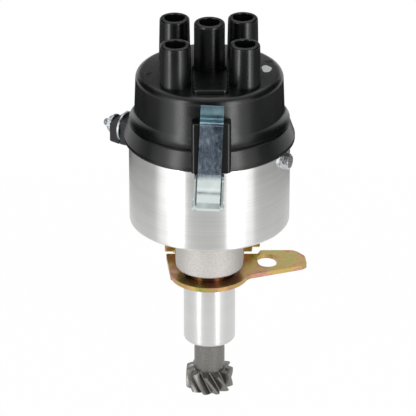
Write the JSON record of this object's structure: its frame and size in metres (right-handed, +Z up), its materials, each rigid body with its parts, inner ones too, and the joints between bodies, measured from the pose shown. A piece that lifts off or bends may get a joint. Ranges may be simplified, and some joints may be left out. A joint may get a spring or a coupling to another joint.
{
  "type": "ignition distributor",
  "caption": "Ignition distributor: moulded cap with cable towers on a turned cup, two spring clips, clamp, helical gear.",
  "frame": {"origin": "on the pilot's axis, in the plane of the clamp's underside, where it sits on the engine", "axes": "+Z up along the drive shaft, the front clip faces -Y, the clamp's slotted arm points to +X"},
  "size_m": [0.1103, 0.0994, 0.2171],
  "materials": {
    "cast_aluminium": "turned, satin",
    "bronze": "sintered bronze",
    "bright_steel": "ground",
    "gear_steel": "dark, oiled",
    "pin_steel": "dark spring steel",
    "plated_steel": "zinc plated",
    "weight_steel": "sintered steel",
    "spring_steel": "spring wire",
    "felt": "oiled felt",
    "screw_steel": "zinc plated",
    "contact_metal": "polished",
    "fibre": "laminated fibre",
    "condenser_can": "drawn",
    "lead_cover": "black insulation",
    "block_plastic": "moulded",
    "cap_plastic": "satin moulded",
    "insert_metal": "turned",
    "carbon": "pressed carbon",
    "blade_brass": "rolled",
    "clip_zinc": "bright zinc plated",
    "yellow_zinc": "yellow chromate"
  },
  "bodies": {
    "housing": {"housing": "cast_aluminium", "upper_bush": "bronze", "lower_bush": "bronze", "thrust_washers": "bright_steel", "breaker_plate": "plated_steel", "side_screws": "screw_steel", "contact_bracket": "plated_steel", "plate_screws": "screw_steel", "fixed_contact": "contact_metal", "pivot_post": "bright_steel", "arm_clip": "pin_steel", "condenser": "condenser_can", "condenser_strap": "plated_steel", "condenser_lead": "lead_cover", "terminal_stud": "screw_steel", "terminal_bush": "block_plastic", "terminal_inner_block": "block_plastic", "terminal_outer_block": "block_plastic", "terminal_washers": "screw_steel", "terminal_nut": "screw_steel", "distributor_cap": "cap_plastic", "tower_inserts": "insert_metal", "centre_insert": "insert_metal", "brush_spring": "spring_steel", "front_clip_bracket": "clip_zinc", "rear_clip_bracket": "clip_zinc", "front_clip_pin": "clip_zinc", "rear_clip_pin": "clip_zinc", "clip_rivets": "clip_zinc"},
    "drive_shaft": {"drive_shaft": "bright_steel", "drive_gear": "gear_steel", "gear_roll_pin": "pin_steel", "weight_plate": "plated_steel", "weight_pivot_pins": "bright_steel", "weight_clips": "pin_steel", "advance_springs": "spring_steel", "cam_retaining_clip": "pin_steel"},
    "cam": {"cam_plate": "plated_steel", "breaker_cam": "bright_steel", "cam_felt": "felt", "rotor": "cap_plastic", "rotor_blade": "blade_brass"},
    "weight_a": {"weight_a": "weight_steel"},
    "weight_b": {"weight_b": "weight_steel"},
    "breaker_arm": {"breaker_arm": "plated_steel", "rubbing_block": "fibre", "arm_contact": "contact_metal", "breaker_spring": "spring_steel"},
    "front_clip": {"front_clip": "clip_zinc"},
    "rear_clip": {"rear_clip": "clip_zinc"},
    "clamp": {"clamp_plate": "yellow_zinc", "clamp_bolt": "yellow_zinc", "clamp_washer": "yellow_zinc", "clamp_nut": "yellow_zinc"},
    "carbon_brush": {"carbon_brush": "carbon"}
  },
  "joints": [
    {"name": "shaft_spin", "type": "hinge", "parent": "housing", "child": "drive_shaft", "pos_m": [0, 0, 0], "axis": [0, 0, 1], "continuous": true},
    {"name": "cam_advance", "type": "hinge", "parent": "drive_shaft", "child": "cam", "pos_m": [0, 0, 0.0706], "axis": [0, 0, 1], "range_deg": [0, 12], "stiffness_Nm_per_rad": 0.6, "springref_deg": -1.15, "deforming": ["advance_springs"]},
    {"name": "weight_a_swing", "type": "hinge", "parent": "drive_shaft", "child": "weight_a", "pos_m": [0.022, 0, 0.0462], "axis": [0, 0, 1], "range_deg": [-15.2, 0]},
    {"name": "weight_b_swing", "type": "hinge", "parent": "drive_shaft", "child": "weight_b", "pos_m": [-0.022, 0, 0.0462], "axis": [0, 0, 1], "range_deg": [-15.2, 0]},
    {"name": "breaker_arm_lift", "type": "hinge", "parent": "housing", "child": "breaker_arm", "pos_m": [0.022, 0.0175, 0.0755], "axis": [0, 0, -1], "range_deg": [-0.6, 6], "stiffness_Nm_per_rad": 0.25, "springref_deg": -2.01, "deforming": ["breaker_spring"]},
    {"name": "front_clip_open", "type": "hinge", "parent": "housing", "child": "front_clip", "pos_m": [-0.0008, -0.04604, 0.0633], "axis": [0.999, -0.0174, -0.0419], "range_deg": [0, 140]},
    {"name": "rear_clip_open", "type": "hinge", "parent": "housing", "child": "rear_clip", "pos_m": [0.0008, 0.04604, 0.0633], "axis": [-0.999, 0.0174, -0.0419], "range_deg": [0, 140]},
    {"name": "clamp_turn", "type": "hinge", "parent": "housing", "child": "clamp", "pos_m": [0, 0, 0], "axis": [0, 0, 1], "range_deg": [-30, 30]},
    {"name": "brush_slide", "type": "slide", "parent": "housing", "child": "carbon_brush", "axis": [0, 0, 1], "range_m": [0, 0.001], "stiffness_N_per_m": 120, "springref_m": -0.003, "deforming": ["brush_spring"]}
  ],
  "couplings": [
    {"joint": "weight_a_swing", "follows": "cam_advance", "ratio": -1.25},
    {"joint": "weight_b_swing", "follows": "cam_advance", "ratio": -1.25}
  ]
}
